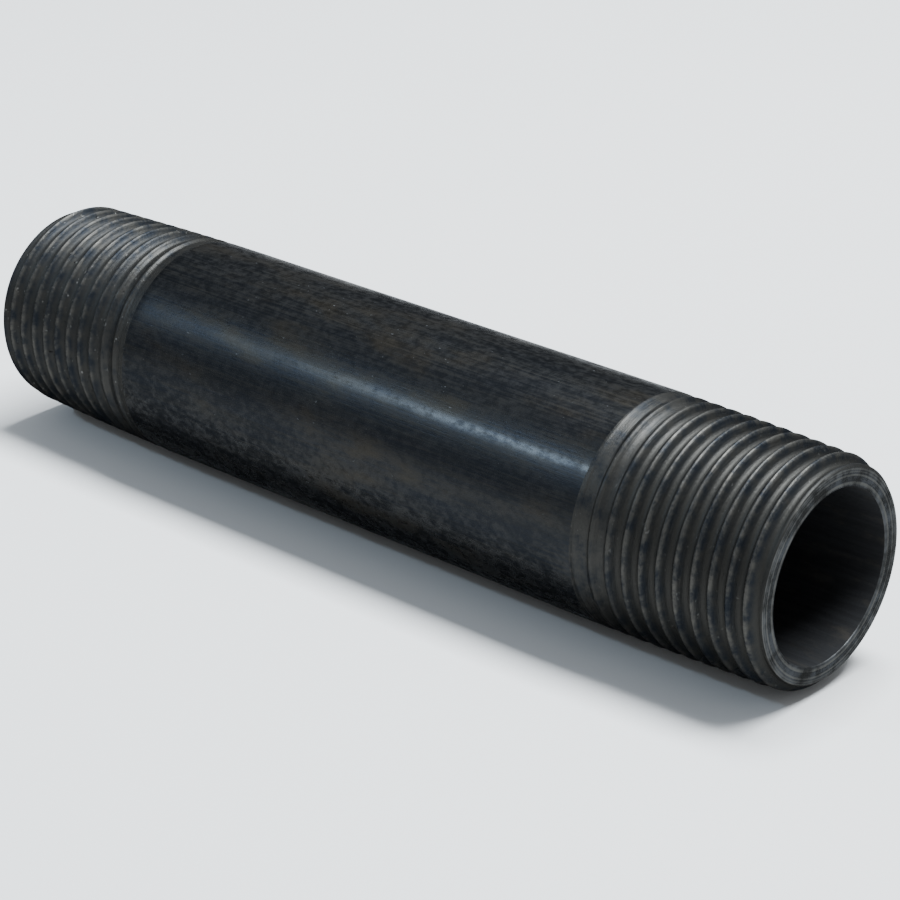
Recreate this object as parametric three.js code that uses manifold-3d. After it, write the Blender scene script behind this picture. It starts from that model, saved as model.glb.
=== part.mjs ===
// A threaded pipe nipple: a short length of black steel pipe, 3/8 inch by 3 inches, Schedule 40,
// with a right-hand American taper pipe thread (NPT) cut into its own wall at both ends.
// Millimetres. The pipe lies along +X from the origin, which is the middle of one end face, and +Z is up.

import * as THREE from 'three';
import { mergeVertices } from 'three/addons/utils/BufferGeometryUtils.js';
import Module from 'manifold-3d';

const wasm = await Module();
wasm.setup();

const inch = 25.4;

// The pipe.
const overallLength = 3 * inch;
const outerDiameter = 0.675 * inch;
const wallThickness = 0.091 * inch;

// The thread's own sizes. Its cone and its lengths follow from the pipe's diameter, below.
const threadPitch = inch / 18;
const taperOnDiameter = 1 / 16;
const flankAngle = THREE.MathUtils.degToRad(30);
const threadHeight = 0.8 * threadPitch;
const runOutLength = 3.47 * threadPitch;
const threadLeadIn = 1.8 * threadPitch;

// The turned ends: a bevel over the first thread, and a light ream inside the mouth.
const bevelLength = 0.95;
const bevelDepth = 0.75;
const reamDepth = 0.1;

// How finely the round surfaces are faceted.
const facetsAround = 24;

const outerRadius = outerDiameter / 2;
const boreRadius = outerRadius - wallThickness;

// The standard's rules for the pitch diameter at the pipe's end and for the length of full thread.
const diameterInInches = outerDiameter / inch;
const pitchDiameterAtEnd = outerDiameter - (0.05 * diameterInInches + 1.1) * threadPitch;
const fullThreadLength = (0.8 * diameterInInches + 6.8) * threadPitch;

// Radius of the thread's pitch cone at a distance in from the pipe's end.
function pitchRadius(distance) {
  return (pitchDiameterAtEnd + taperOnDiameter * distance) / 2;
}

// Radius of the bottom of the groove at a distance in from the pipe's end.
function rootRadius(distance) {
  return pitchRadius(distance) - threadHeight / 2;
}

// Distance in from the end at which the cone of the crests reaches the pipe's own diameter.
function coneLength() {
  return (outerDiameter - threadHeight - pitchDiameterAtEnd) / taperOnDiameter;
}

// One end's outline as [radius, distance in from the end], from the bore round to the outside.
function endOutline() {
  const crestAtEnd = pitchRadius(0) + threadHeight / 2;
  const crestAtBevel = pitchRadius(bevelLength) + threadHeight / 2;
  return [
    [boreRadius, reamDepth],
    [boreRadius + reamDepth, 0],
    [crestAtEnd - bevelDepth, 0],
    [crestAtBevel, bevelLength],
    [outerRadius, coneLength()],
  ];
}

// The pipe before threading: a turned tube, coned and bevelled at both ends.
function pipeBlank() {
  const startEnd = endOutline().map(([radius, distance]) => new THREE.Vector2(radius, distance));
  const otherEnd = startEnd.map((point) => new THREE.Vector2(point.x, overallLength - point.y)).reverse();
  const outline = [...startEnd, ...otherEnd, startEnd[0]];
  return new THREE.LatheGeometry(outline, facetsAround).rotateZ(-Math.PI / 2);
}

// The groove's section: a 60 degree V with a narrow flat bottom. Above the crests its sides are upright.
function grooveSection() {
  const sharpHeight = threadPitch / (2 * Math.tan(flankAngle));
  const halfBottom = (sharpHeight - threadHeight) / 2 * Math.tan(flankAngle);
  const halfTop = halfBottom + threadHeight * Math.tan(flankAngle);
  const top = threadHeight * 1.5;
  return new THREE.Shape([
    new THREE.Vector2(-halfBottom, 0),
    new THREE.Vector2(halfBottom, 0),
    new THREE.Vector2(halfTop, threadHeight),
    new THREE.Vector2(halfTop, top),
    new THREE.Vector2(-halfTop, top),
    new THREE.Vector2(-halfTop, threadHeight),
  ]);
}

// The die's teeth at the origin's end: a straight bar of that section, one step for each facet, wound
// right-handed along the thread's cone from just outside the end face to past the run-out.
function threadGroove() {
  const stepLength = threadPitch / facetsAround;
  const steps = Math.ceil((threadLeadIn + fullThreadLength + runOutLength + threadPitch) / stepLength);
  const bar = new THREE.ExtrudeGeometry(grooveSection(), { depth: steps, steps, bevelEnabled: false });
  const position = bar.getAttribute('position');
  for (let i = 0; i < position.count; i += 1) {
    const step = position.getZ(i);
    const distance = step * stepLength - threadLeadIn;
    const radius = rootRadius(distance) + position.getY(i);
    const angle = 2 * Math.PI * step / facetsAround;
    const along = distance + position.getX(i);
    position.setXYZ(i, along, radius * Math.cos(angle), radius * Math.sin(angle));
  }
  return bar;
}

// What the die leaves past the full thread: its lead-in teeth are ground to a cone, so the groove keeps its
// place and width there, and its bottom is a band of this cone that climbs out to the pipe's surface.
function runOutCone() {
  const start = rootRadius(fullThreadLength);
  const slope = (outerRadius - start) / runOutLength;
  const beyond = threadPitch * 3;
  const outline = [
    new THREE.Vector2(0, fullThreadLength),
    new THREE.Vector2(start, fullThreadLength),
    new THREE.Vector2(outerRadius + slope * beyond, fullThreadLength + runOutLength + beyond),
    new THREE.Vector2(0, fullThreadLength + runOutLength + beyond),
  ];
  return new THREE.LatheGeometry(outline, facetsAround).rotateZ(-Math.PI / 2);
}

// A closed solid from a geometry, once the corners that lie in one place are joined into one.
function solidFrom(geometry) {
  geometry.deleteAttribute('normal');
  geometry.deleteAttribute('uv');
  const merged = mergeVertices(geometry);
  return new wasm.Manifold(new wasm.Mesh({
    numProp: 3,
    vertProperties: merged.getAttribute('position').array,
    triVerts: new Uint32Array(merged.getIndex().array),
  }));
}

function geometryFrom(solid) {
  const mesh = solid.getMesh();
  const geometry = new THREE.BufferGeometry();
  geometry.setAttribute('position', new THREE.BufferAttribute(mesh.vertProperties, 3));
  geometry.setIndex(new THREE.BufferAttribute(mesh.triVerts, 1));
  geometry.computeVertexNormals();
  return geometry;
}

// The nipple itself: the blank with the same right-hand groove cut at each end.
function nipple() {
  const cut = geometryFrom(solidFrom(threadGroove()).subtract(solidFrom(runOutCone())));
  const cutAtOtherEnd = cut.clone().rotateZ(Math.PI).translate(overallLength, 0, 0);
  const threaded = solidFrom(pipeBlank())
    .subtract(solidFrom(cut))
    .subtract(solidFrom(cutAtOtherEnd));
  const blackSteel = new THREE.MeshStandardMaterial({
    color: 0x1e2127,
    roughness: 0.4,
    metalness: 0.7,
    flatShading: true,
  });
  const mesh = new THREE.Mesh(geometryFrom(threaded), blackSteel);
  mesh.name = 'pipe_nipple';
  return mesh;
}

const part = new THREE.Group();
part.add(nipple());

export default part;
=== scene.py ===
"""A black steel pipe nipple: one short length of pipe with a taper thread cut on each end.

Metres. The pipe lies along +X from the origin, the middle of the held end's face, and +Z is up.
"""

import math

import bmesh
import bpy
import numpy as np
from mathutils import Matrix, Vector, noise


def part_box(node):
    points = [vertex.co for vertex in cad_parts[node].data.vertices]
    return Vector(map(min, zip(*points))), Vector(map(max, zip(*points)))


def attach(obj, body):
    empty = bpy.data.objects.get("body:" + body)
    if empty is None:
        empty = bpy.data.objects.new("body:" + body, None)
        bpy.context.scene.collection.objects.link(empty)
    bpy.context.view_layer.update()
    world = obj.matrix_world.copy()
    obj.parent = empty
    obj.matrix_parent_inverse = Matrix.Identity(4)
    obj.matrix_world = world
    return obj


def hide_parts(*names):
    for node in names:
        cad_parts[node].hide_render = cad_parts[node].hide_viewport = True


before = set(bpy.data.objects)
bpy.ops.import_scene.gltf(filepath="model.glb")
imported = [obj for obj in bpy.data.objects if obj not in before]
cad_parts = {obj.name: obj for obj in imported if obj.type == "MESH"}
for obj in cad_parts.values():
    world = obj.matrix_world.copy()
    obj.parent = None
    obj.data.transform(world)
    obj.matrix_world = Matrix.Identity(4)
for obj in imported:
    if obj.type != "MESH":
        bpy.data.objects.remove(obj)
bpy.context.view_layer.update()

MM = 0.001
INCH = 0.0254

# The pipe, from the box of its solid, and its wall.
NODE = "pipe_nipple"
low_corner, high_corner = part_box(NODE)
PIPE_LENGTH = high_corner[0] - low_corner[0]
PIPE_RADIUS = (high_corner[1] - low_corner[1]) / 2
WALL = 0.091 * INCH
BORE_RADIUS = PIPE_RADIUS - WALL

# The thread: American taper pipe thread, 18 to the inch.
PITCH = INCH / 18
RADIAL_TAPER = 1 / 32
FLANK = math.radians(30)
THREAD_HEIGHT = 0.8 * PITCH
RUN_OUT = 3.47 * PITCH
LEAD_IN = 1.8 * PITCH
PIPE_DIAMETER_INCHES = 2 * PIPE_RADIUS / INCH
PITCH_RADIUS_AT_END = PIPE_RADIUS - (0.05 * PIPE_DIAMETER_INCHES + 1.1) * PITCH / 2
FULL_THREAD = (0.8 * PIPE_DIAMETER_INCHES + 6.8) * PITCH

# The turned ends. A straight ream's middle would stand out by half its depth, and less rounds it.
BEVEL_LENGTH = 0.95 * MM
BEVEL_DEPTH = 0.75 * MM
REAM = 0.1 * MM
REAM_MIDDLE = 0.42

# What wear and lacquer do to the sharp thread: crests worn down, grooves filled, corners rounded.
CREST_WEAR = 0.13 * MM
FREE_ROOT_FILL = 0.34 * MM
HELD_ROOT_FILL = 0.50 * MM
EDGE_ROUNDING = 0.20 * MM

# The rolled skin's unevenness: its depth, and its waves and finer ripples in a metre along X, Y and Z.
WAVE_DEPTH = 0.03 * MM
WAVES = (130, 330, 330)
RIPPLES = (420, 900, 900)
RIPPLE_SHARE = 0.35

# Knocks on the crests. A stretch under 1 makes a knock shorter along the pipe than round it.
KNOCKS = 150
KNOCK_SEED = 7
KNOCKS_ON_HELD_END = 0.55
KNOCKED_LENGTH = FULL_THREAD + 2 * PITCH
KNOCK_REACH = (0.25 * MM, 0.8 * MM)
KNOCK_DEPTH = (0.04 * MM, 0.16 * MM)
KNOCK_STRETCH = (0.4, 1.0)

# How finely the pipe is meshed: lines round it, and rows along each line. The thread's rows are shares of
# the way from one groove to the next, closest over the crest, and the ring's of the way across it.
COLUMNS = 192
THREAD_ROWS = (0, 0.03, 0.13, 0.24, 0.35, 0.42, 0.46, 0.5, 0.54, 0.58, 0.65, 0.76, 0.87, 0.97)
TURNS_BEFORE_FACE = 2
ROWS_PAST_RUN_OUT = 0.15 * PITCH
RING_ROWS = (0.06, 0.35, 0.65, 0.94)
BORE_STEPS = 24
BARREL_STEPS = 60
SEAM_GAP = 2e-7
SLIVER = 1e-7

# The finishes' places in the pipe's list of materials.
BORE, RING, THREAD, BARREL = range(4)


# ---------------------------------------------------------------------------------- the pipe's shape


def smooth_min(a, b, width):
    """The smaller of two heights, with the corner between them rounded."""
    blend = np.maximum(width - np.abs(a - b), 0) / width
    return np.minimum(a, b) - blend * blend * width / 4


def smooth_max(a, b, width):
    """The larger of two heights, with the corner between them rounded."""
    return -smooth_min(-a, -b, width)


def pitch_cone(distance):
    """Radius of the thread's pitch cone at a distance in from the end's face."""
    return PITCH_RADIUS_AT_END + RADIAL_TAPER * distance


def blank_radius(distance):
    """Radius of the coned and bevelled end before threading, by distance in from its face."""
    crest = pitch_cone(distance) + THREAD_HEIGHT / 2 - CREST_WEAR
    coned = smooth_min(crest, PIPE_RADIUS, EDGE_ROUNDING)
    at_bevel = pitch_cone(BEVEL_LENGTH) + THREAD_HEIGHT / 2
    at_face = pitch_cone(0) + THREAD_HEIGHT / 2 - BEVEL_DEPTH
    bevel = at_face + (at_bevel - at_face) * distance / BEVEL_LENGTH
    return smooth_min(coned, bevel, EDGE_ROUNDING)


def groove_radius(distance, centre, fill):
    """Radius of the V groove's wall at a distance, for a groove whose bottom lies at centre."""
    bottom = pitch_cone(centre) - THREAD_HEIGHT / 2 + fill
    sharp = pitch_cone(centre) - PITCH / 4 / math.tan(FLANK)
    wall = sharp + np.abs(distance - centre) / math.tan(FLANK)
    start = pitch_cone(FULL_THREAD) - THREAD_HEIGHT / 2
    lead_in_cone = start + (PIPE_RADIUS - start) * (distance - FULL_THREAD) / RUN_OUT
    cut = smooth_max(bottom, wall, EDGE_ROUNDING)
    return smooth_max(cut, lead_in_cone, EDGE_ROUNDING)


def end_radius(distance, turn, fill):
    """Radius of a threaded end at a distance in from its face, on the line at this part of a turn."""
    nearest = np.round((distance + LEAD_IN) / PITCH - turn)
    radius = blank_radius(distance)
    for neighbour in (-1, 0, 1):
        centre = (nearest + neighbour + turn) * PITCH - LEAD_IN
        radius = smooth_min(radius, groove_radius(distance, centre, fill), EDGE_ROUNDING)
    return radius


def thread_distances(turn):
    """Distances in from the face at which this line is cut into rows, following the thread."""
    last_turn = math.ceil((FULL_THREAD + RUN_OUT + LEAD_IN) / PITCH)
    turns = np.arange(-TURNS_BEFORE_FACE, last_turn + 1)
    rows = (turns[:, None] + np.array(THREAD_ROWS)[None, :]).ravel()
    return np.clip((rows + turn) * PITCH - LEAD_IN, 0, FULL_THREAD + RUN_OUT + ROWS_PAST_RUN_OUT)


def end_line(turn, fill):
    """One lengthwise line over a threaded end as rows of (distance, radius), from the bore outwards."""
    along = thread_distances(turn)
    outside = end_radius(along, turn, fill)
    inner, outer = BORE_RADIUS + REAM, outside[0]
    ream = [(REAM, BORE_RADIUS), (REAM / 2, BORE_RADIUS + REAM * REAM_MIDDLE), (0, inner)]
    face = [(0, inner + (outer - inner) * share) for share in RING_ROWS]
    return np.array(ream + face + list(zip(along, outside)))


def plain_line(start, end, steps, radius):
    """Rows of (x, radius) between two places on a plain stretch, without the places themselves."""
    shares = np.linspace(0, 1, steps + 1)[1:-1]
    return [(start + (end - start) * share, radius) for share in shares]


def pipe_line(angle):
    """The pipe's closed section at one angle about its axis, as rows of (x, radius)."""
    held = end_line(angle / (2 * math.pi), HELD_ROOT_FILL)
    free = end_line((math.pi - angle) / (2 * math.pi), FREE_ROOT_FILL)
    free[:, 0] = PIPE_LENGTH - free[:, 0]
    free = free[::-1]
    barrel = plain_line(held[-1, 0], free[0, 0], BARREL_STEPS, PIPE_RADIUS)
    bore = plain_line(free[-1, 0], held[0, 0], BORE_STEPS, BORE_RADIUS)
    return np.concatenate([held, barrel, free, bore])


def row_finishes():
    """The finish of each band of faces, in the order of pipe_line's rows."""
    thread_rows = len(thread_distances(0))
    ring_rows = len(end_line(0, FREE_ROOT_FILL)) - thread_rows
    end = [RING] * ring_rows + [THREAD] * (thread_rows - 1)
    return np.array(end + [BARREL] * BARREL_STEPS + end[::-1] + [BORE] * BORE_STEPS)


def waviness(point):
    """The unevenness that rolling leaves in the pipe's skin, from 0 to -1."""
    slow = noise.noise(Vector(point * WAVES))
    quick = noise.noise(Vector(point * RIPPLES))
    return (slow + RIPPLE_SHARE * quick) / (2 * (1 + RIPPLE_SHARE)) - 0.5


def knocked(points, radius):
    """Radii after the crests have been knocked: each knock leaves a small flat on what stands proud."""
    rng = np.random.default_rng(KNOCK_SEED)
    for _ in range(KNOCKS):
        held = rng.random() < KNOCKS_ON_HELD_END
        distance = rng.uniform(BEVEL_LENGTH, KNOCKED_LENGTH)
        angle = rng.uniform(0, 2 * math.pi)
        reach = rng.uniform(*KNOCK_REACH)
        depth = rng.uniform(*KNOCK_DEPTH)
        stretch = rng.uniform(*KNOCK_STRETCH)
        top = min(PIPE_RADIUS, pitch_cone(distance) + THREAD_HEIGHT / 2)
        x = distance if held else PIPE_LENGTH - distance
        place = on_pipe(x, top, angle)
        away = (points - place) / (reach * np.array([stretch, 1, 1]))
        share = np.clip(1 - (away * away).sum(axis=-1), 0, 1)
        flat = top - depth * share
        radius = np.where(share > 0, np.minimum(radius, flat), radius)
    return radius


def on_pipe(x, radius, angle):
    """The point at x, at this radius and angle about the pipe's axis."""
    return np.stack([x, radius * np.cos(angle), radius * np.sin(angle)], axis=-1)


def make_pipe():
    """The whole pipe as one closed skin: lengthwise lines round the axis, cut into rows."""
    angles = np.linspace(0, 2 * math.pi, COLUMNS + 1)
    lines = np.stack([pipe_line(angle) for angle in angles])
    columns, rows = lines.shape[:2]
    x, radius = lines[..., 0], lines[..., 1]
    around = angles[:, None]
    radius = knocked(on_pipe(x, radius, around), radius)
    skin = np.array([[waviness(point) for point in line] for line in on_pipe(x, radius, around)])
    outwards = np.clip((radius - BORE_RADIUS) / (PIPE_RADIUS - BORE_RADIUS), 0, 1)
    points = on_pipe(x, radius + WAVE_DEPTH * skin * outwards, around).reshape(-1, 3)
    index = np.arange(columns * rows).reshape(columns, rows)
    after = np.roll(index, -1, axis=1)
    faces = np.stack([index[:-1], after[:-1], after[1:], index[1:]], axis=-1).reshape(-1, 4)
    mesh = bpy.data.meshes.new("threaded_pipe")
    mesh.from_pydata(points.tolist(), [], faces.tolist())
    mesh.polygons.foreach_set("material_index", np.tile(row_finishes(), columns - 1).astype(np.int32))
    made = bpy.data.objects.new("threaded_pipe", mesh)
    bpy.context.scene.collection.objects.link(made)
    return made


def close_seams(made):
    """Joins the skin where its last line meets its first, and where several rows lie in one place."""
    work = bmesh.new()
    work.from_mesh(made.data)
    bmesh.ops.remove_doubles(work, verts=work.verts, dist=SEAM_GAP)
    bmesh.ops.dissolve_degenerate(work, edges=work.edges, dist=SLIVER)
    bmesh.ops.recalc_face_normals(work, faces=work.faces)
    for face in work.faces:
        face.smooth = True
    work.to_mesh(made.data)
    work.free()


pipe = make_pipe()
close_seams(pipe)


# -------------------------------------------------------------------------------------- the finishes


class Wire:
    """A value, vector or colour on its way between nodes. Sums on wires add the Math nodes for them."""

    def __init__(self, finish, socket):
        self.finish = finish
        self.socket = socket

    def maths(self, operation, first, second=0.0):
        """The result of one Math node."""
        return self.finish.node("ShaderNodeMath", {"operation": operation}, {0: first, 1: second})

    def __add__(self, other):
        return self.maths("ADD", self, other)

    def __radd__(self, other):
        return self.maths("ADD", other, self)

    def __sub__(self, other):
        return self.maths("SUBTRACT", self, other)

    def __rsub__(self, other):
        return self.maths("SUBTRACT", other, self)

    def __mul__(self, other):
        return self.maths("MULTIPLY", self, other)

    def __rmul__(self, other):
        return self.maths("MULTIPLY", other, self)

    def __truediv__(self, other):
        return self.maths("DIVIDE", self, other)

    def __rtruediv__(self, other):
        return self.maths("DIVIDE", other, self)

    def __pow__(self, other):
        return self.maths("POWER", self, other)

    def __rpow__(self, other):
        return self.maths("POWER", other, self)

    def __abs__(self):
        return self.maths("ABSOLUTE", self)

    def least(self, other):
        """The smaller of this and another value."""
        return self.maths("MINIMUM", self, other)


def colour(value):
    """A colour with its alpha, or the wire that brings one."""
    return value if isinstance(value, Wire) else (*value, 1)


class Finish:
    """One material, and what its nodes are asked for."""

    def __init__(self, name):
        self.material = bpy.data.materials.new(name)
        self.material.use_nodes = True
        self.tree = self.material.node_tree
        self.tree.nodes.clear()
        self.place = self.node("ShaderNodeTexCoord", {}, {}, "Object")

    def node(self, kind, settings, sockets, output=0):
        """Adds a node, sets it up, gives its sockets their values or wires, and returns one output."""
        made = self.tree.nodes.new(kind)
        for name, value in settings.items():
            setattr(made, name, value)
        for name, value in sockets.items():
            if isinstance(value, Wire):
                self.tree.links.new(value.socket, made.inputs[name])
            else:
                made.inputs[name].default_value = value
        return Wire(self, made.outputs[output]) if made.outputs else None

    def grain(self, size, detail=3.0, roughness=0.55, shift=0.0):
        """Noise from 0 to 1 whose features are about this many millimetres along X, Y and Z."""
        scaled = self.node(
            "ShaderNodeVectorMath",
            {"operation": "MULTIPLY_ADD"},
            {0: self.place, 1: [1 / (MM * side) for side in size], 2: (shift, shift, shift)},
        )
        sockets = {"Vector": scaled, "Scale": 1.0, "Detail": detail, "Roughness": roughness}
        return self.node("ShaderNodeTexNoise", {}, sockets, "Fac")

    def ramp(self, value, low, high):
        """0 below low, 1 above high, and a smooth step between them."""
        settings = {"interpolation_type": "SMOOTHSTEP"}
        sockets = {"Value": value, "From Min": low, "From Max": high}
        return self.node("ShaderNodeMapRange", settings, sockets)

    def blend(self, share, first, second):
        """The first colour where share is 0, the second where it is 1."""
        sockets = {0: share, 6: colour(first), 7: colour(second)}
        return self.node("ShaderNodeMix", {"data_type": "RGBA"}, sockets, 2)

    def axes(self):
        """How far along the pipe a point is, and how far from its axis."""
        x, y, z = (self.node("ShaderNodeSeparateXYZ", {}, {0: self.place}, axis) for axis in "XYZ")
        return x, (y * y + z * z) ** 0.5

    def bump(self, height, depth, below=None):
        """A normal roughened by a height of 0 to 1 that stands for this many millimetres."""
        sockets = {"Height": height, "Distance": depth * MM, "Strength": 1.0}
        if below is not None:
            sockets["Normal"] = below
        return self.node("ShaderNodeBump", {}, sockets)

    def surface(self, **sockets):
        """Ends the finish in one shader, with its sockets' names written with underscores."""
        named = {name.replace("_", " "): value for name, value in sockets.items()}
        shader = self.node("ShaderNodeBsdfPrincipled", {}, named)
        self.node("ShaderNodeOutputMaterial", {}, {"Surface": shader})
        return self.material


# The outside is a dark metallic skin, whose edges shine less than bare metal's do.
CUT_METAL = 0.9
LACQUERED_METAL = 0.95
SKIN_GLOSS = 0.3
EDGE_TINT = (0.08, 0.08, 0.08, 1)

# Lacquer and the skin under it.
BLUE_BLACK = (0.014, 0.0157, 0.0187)
GREY_BLACK = (0.0205, 0.0207, 0.0203)
BROWN_BLACK = (0.026, 0.0228, 0.0175)
DUST = (0.085, 0.09, 0.096)

# Cut threads. The cut steel's colour also serves as a painted fill light that lightens the groove bottoms
# against their shade.
STEEL_AND_GROOVE_FILL = (0.0275, 0.027, 0.025)
CUT_DARK = (0.012, 0.0145, 0.0185)
RUN_OUT_STEEL = (0.034, 0.0333, 0.0312)
WORN_STEEL = (0.062, 0.06, 0.055)
DENTED = (0.16, 0.16, 0.155)
SOOT = (0.006, 0.006, 0.0065)

# The turned end.
TURNED_STEEL = (0.05, 0.055, 0.063)
BRIGHT_STEEL = (0.088, 0.088, 0.084)

# Scale in the bore.
BORE_DARK = (0.005, 0.0052, 0.006)
BORE_GREY = (0.009, 0.0095, 0.0105)


def lacquered_barrel():
    """Mill skin under black lacquer: fine streaks along the pipe, faint brown patches, specks."""
    finish = Finish("lacquered_barrel")
    streaks = finish.grain((9.0, 0.16, 0.16), detail=4.0, roughness=0.6)
    fine = finish.grain((1.6, 0.05, 0.05), detail=2.0, roughness=0.5, shift=3.7)
    patches = finish.grain((7.0, 2.4, 2.4), detail=4.0, roughness=0.6, shift=9.1)
    mottle = finish.grain((0.7, 0.5, 0.5), roughness=0.6, shift=31.0)
    peel = finish.grain((0.35, 0.25, 0.25), roughness=0.6, shift=5.3)
    spots = finish.grain((0.42, 0.24, 0.24), detail=2.5, roughness=0.6, shift=21.0)
    specks = finish.ramp(spots, 0.7, 0.78)
    light = finish.ramp(0.55 * streaks + 0.15 * mottle + 0.3 * patches, 0.36, 0.64)
    base = finish.blend(light, BLUE_BLACK, GREY_BLACK)
    browned = finish.blend(finish.ramp(patches, 0.5, 0.78) * 0.75, base, BROWN_BLACK)
    dusted = finish.blend(specks * finish.ramp(patches, 0.4, 0.6), browned, DUST)
    dullness = finish.ramp(mottle + streaks, 0.8, 1.2)
    thickness = finish.ramp(0.6 * mottle + 0.4 * patches, 0.4, 0.6)
    relief = finish.bump(streaks * 0.7 + fine * 0.3, 0.011)
    return finish.surface(
        Base_Color=dusted,
        Metallic=LACQUERED_METAL,
        Roughness=0.36 + 0.1 * dullness + 0.25 * specks,
        Specular_IOR_Level=SKIN_GLOSS,
        Specular_Tint=EDGE_TINT,
        Coat_Weight=0.02 + 0.145 * thickness,
        Coat_Roughness=0.2,
        Coat_IOR=1.42,
        Normal=finish.bump(peel, 0.011, relief),
    )


def cut_thread():
    """Threads cut through the skin and lacquered over: dark flanks, worn crests, rings left by the die,
    and groove bottoms painted lighter as a painted fill light against their shade.
    """
    finish = Finish("cut_thread")
    x, radius = finish.axes()
    from_end = PIPE_LENGTH / 2 - abs(x - PIPE_LENGTH / 2)
    crest = (pitch_cone(from_end) + (THREAD_HEIGHT / 2 - CREST_WEAR)).least(PIPE_RADIUS)
    depth = crest - radius
    fading = finish.ramp(from_end, FULL_THREAD, FULL_THREAD + RUN_OUT * 0.8)
    patches = finish.grain((1.6, 1.3, 1.3), detail=5.0, roughness=0.65, shift=2.0)
    rings = finish.grain((0.09, 1.6, 1.6), detail=4.0, roughness=0.65, shift=6.0)
    grit = finish.grain((0.16, 0.2, 0.2), roughness=0.6, shift=12.0)
    on_crest = 1 - finish.ramp(depth, 0.03 * MM, 0.3 * MM)
    worn = on_crest * finish.ramp(patches + 0.4 * grit, 0.5, 0.95) * (1 - fading)
    skin = finish.blend(finish.ramp(patches, 0.35, 0.7), CUT_DARK, STEEL_AND_GROOVE_FILL)
    # Painted fill light: the deeper a point lies in a groove, the more it takes the lighter cut steel
    # colour, which cancels the shade that falls in the grooves.
    groove_painted_fill = finish.blend(finish.ramp(depth, 0.2 * MM, 0.7 * MM), skin, STEEL_AND_GROOVE_FILL)
    shaved = finish.blend(fading * finish.ramp(patches + 0.3 * rings, 0.35, 0.8), groove_painted_fill, RUN_OUT_STEEL)
    held = 1 - finish.ramp(x, FULL_THREAD, PIPE_LENGTH / 2)
    battered = (0.3 + 0.7 * held) * finish.ramp(patches, 0.4, 0.62)
    knocks = finish.grain((0.3, 0.42, 0.42), detail=2.5, roughness=0.6, shift=43.0)
    dents = finish.ramp(knocks, 0.66, 0.74) * battered
    holes = finish.grain((0.24, 0.34, 0.34), detail=2.5, roughness=0.6, shift=61.0)
    pits = finish.ramp(holes, 0.66, 0.74) * battered
    marked = finish.blend(dents, finish.blend(worn, shaved, WORN_STEEL), DENTED)
    relief = finish.bump(grit, 0.018, finish.bump(rings, 0.026))
    return finish.surface(
        Base_Color=finish.blend(pits * 0.8, marked, SOOT),
        Metallic=CUT_METAL,
        Roughness=0.38 + 0.16 * rings + 0.14 * grit - 0.05 * worn - 0.06 * fading,
        Specular_IOR_Level=SKIN_GLOSS,
        Specular_Tint=EDGE_TINT,
        Normal=finish.bump(1 - pits - dents, 0.03, relief),
    )


def turned_ring():
    """The faced end: steel with the tool's rings in it, under a thin and patchy black."""
    finish = Finish("turned_ring")
    x, radius = finish.axes()
    tool_mark = 0.14 * MM
    sweep = finish.node("ShaderNodeCombineXYZ", {}, {0: radius / tool_mark, 1: x / tool_mark})
    rings = finish.node("ShaderNodeTexNoise", {}, {"Vector": sweep, "Scale": 1.0, "Detail": 3.0}, "Fac")
    patches = finish.grain((1.5, 1.5, 1.5), detail=4.0, roughness=0.62, shift=4.0)
    grit = finish.grain((0.12, 0.12, 0.12), roughness=0.6, shift=17.0)
    bare = finish.ramp(patches + 0.5 * rings, 0.55, 0.95)
    steel = finish.blend(finish.ramp(rings, 0.35, 0.65), TURNED_STEEL, BRIGHT_STEEL)
    return finish.surface(
        Base_Color=finish.blend(bare, GREY_BLACK, steel),
        Metallic=CUT_METAL,
        Roughness=0.36 + 0.2 * rings + 0.15 * grit,
        Specular_IOR_Level=SKIN_GLOSS,
        Specular_Tint=EDGE_TINT,
        Normal=finish.bump(grit, 0.012, finish.bump(rings, 0.022)),
    )


def bore_scale():
    """The inside: dull black scale, streaked along the pipe, with a little brown."""
    finish = Finish("bore_scale")
    streaks = finish.grain((6.0, 0.3, 0.3), detail=4.0, roughness=0.6, shift=8.0)
    patches = finish.grain((3.0, 1.2, 1.2), detail=4.0, roughness=0.6, shift=15.0)
    scale = finish.grain((0.4, 0.25, 0.25), roughness=0.6, shift=19.0)
    base = finish.blend(finish.ramp(streaks, 0.35, 0.7), BORE_DARK, BORE_GREY)
    return finish.surface(
        Base_Color=finish.blend(finish.ramp(patches, 0.5, 0.8) * 0.6, base, BROWN_BLACK),
        Roughness=0.7 + 0.2 * streaks,
        Specular_IOR_Level=0.15,
        Normal=finish.bump(scale, 0.02, finish.bump(streaks, 0.02)),
    )


FINISHES = {BORE: bore_scale, RING: turned_ring, THREAD: cut_thread, BARREL: lacquered_barrel}
for place in sorted(FINISHES):
    pipe.data.materials.append(FINISHES[place]())

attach(pipe, "root")
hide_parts(NODE)


# ----------------------------------------------------------------------------------------- the stage


FLOOR_REACH = 3.0
FLOOR_PALE = (0.5, 0.5, 0.497)
FLOOR_PALER = (0.53, 0.53, 0.527)

pipe_centre = (low_corner + high_corner) / 2


def towards(azimuth, elevation):
    """Unit vector from the pipe towards a viewer or a lamp."""
    azimuth, elevation = math.radians(azimuth), math.radians(elevation)
    level = math.cos(elevation)
    return Vector((math.sin(azimuth) * level, -math.cos(azimuth) * level, math.sin(elevation)))


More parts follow.
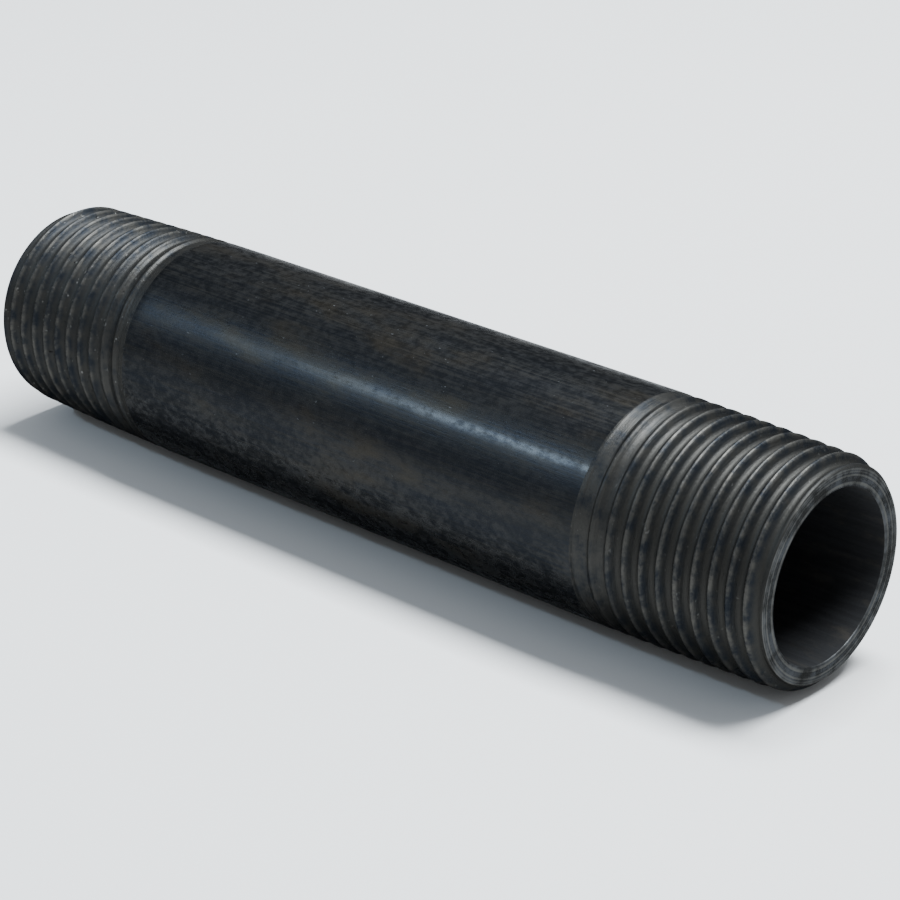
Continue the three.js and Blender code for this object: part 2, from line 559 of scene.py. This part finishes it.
def studio_floor():
    """A plain pale floor that the pipe lies on."""
    square = ((-1, -1), (1, -1), (1, 1), (-1, 1))
    corners = [(x * FLOOR_REACH, y * FLOOR_REACH, low_corner[2]) for x, y in square]
    mesh = bpy.data.meshes.new("studio_floor")
    mesh.from_pydata(corners, [], [(0, 1, 2, 3)])
    made = bpy.data.objects.new("studio_floor", mesh)
    bpy.context.scene.collection.objects.link(made)
    finish = Finish("pale_floor")
    mottle = finish.grain((60.0, 60.0, 60.0), detail=2.0, roughness=0.5)
    pale = finish.blend(mottle, FLOOR_PALE, FLOOR_PALER)
    mesh.materials.append(finish.surface(Base_Color=pale, Roughness=0.9, Specular_IOR_Level=0.1))


def lamp(name, azimuth, elevation, distance, sides, power, tint):
    """A soft lamp that faces the pipe, with its first side along it."""
    data = bpy.data.lights.new(name, "AREA")
    data.shape = "RECTANGLE"
    data.size, data.size_y = sides
    data.energy = power
    data.color = tint
    made = bpy.data.objects.new(name, data)
    back = towards(azimuth, elevation)
    along = (Vector((1, 0, 0)) - back * back.x).normalized()
    made.location = pipe_centre + back * distance
    made.rotation_mode = "QUATERNION"
    made.rotation_quaternion = Matrix((along, back.cross(along), back)).transposed().to_quaternion()
    bpy.context.scene.collection.objects.link(made)


def surroundings(strength, tint):
    """An even light from all sides."""
    world = bpy.data.worlds.new("studio")
    bpy.context.scene.world = world
    world.use_nodes = True
    background = world.node_tree.nodes["Background"]
    background.inputs["Color"].default_value = colour(tint)
    background.inputs["Strength"].default_value = strength


def camera(azimuth, elevation, distance, aim, lens, sensor_width):
    """The camera: in this direction from a place near the pipe's middle, and facing it."""
    data = bpy.data.cameras.new("camera")
    data.lens = lens
    data.sensor_width = sensor_width
    data.clip_start = 0.01
    made = bpy.data.objects.new("camera", data)
    back = towards(azimuth, elevation)
    made.location = pipe_centre + aim + back * distance
    made.rotation_mode = "QUATERNION"
    made.rotation_quaternion = back.to_track_quat("Z", "Y")
    bpy.context.scene.collection.objects.link(made)
    bpy.context.scene.camera = made


studio_floor()
surroundings(strength=0.7, tint=(0.92, 0.96, 1.0))

# A long lamp above and behind, which the crests and the run-out face more than the barrel does, and a
# small cool one that draws the narrow line of light along the barrel.
lamp("overhead", 150, 75, distance=0.6, sides=(0.4, 0.2), power=18.5, tint=(0.9, 0.955, 1.0))
lamp("highlight", -46.6, 36, distance=1.0, sides=(0.06, 0.07), power=3.0, tint=(0.6, 0.79, 1.0))

camera(42.61, 23.72, 210.3 * MM, aim=Vector((2.67, 1.39, -1.79)) * MM, lens=113.2, sensor_width=36)
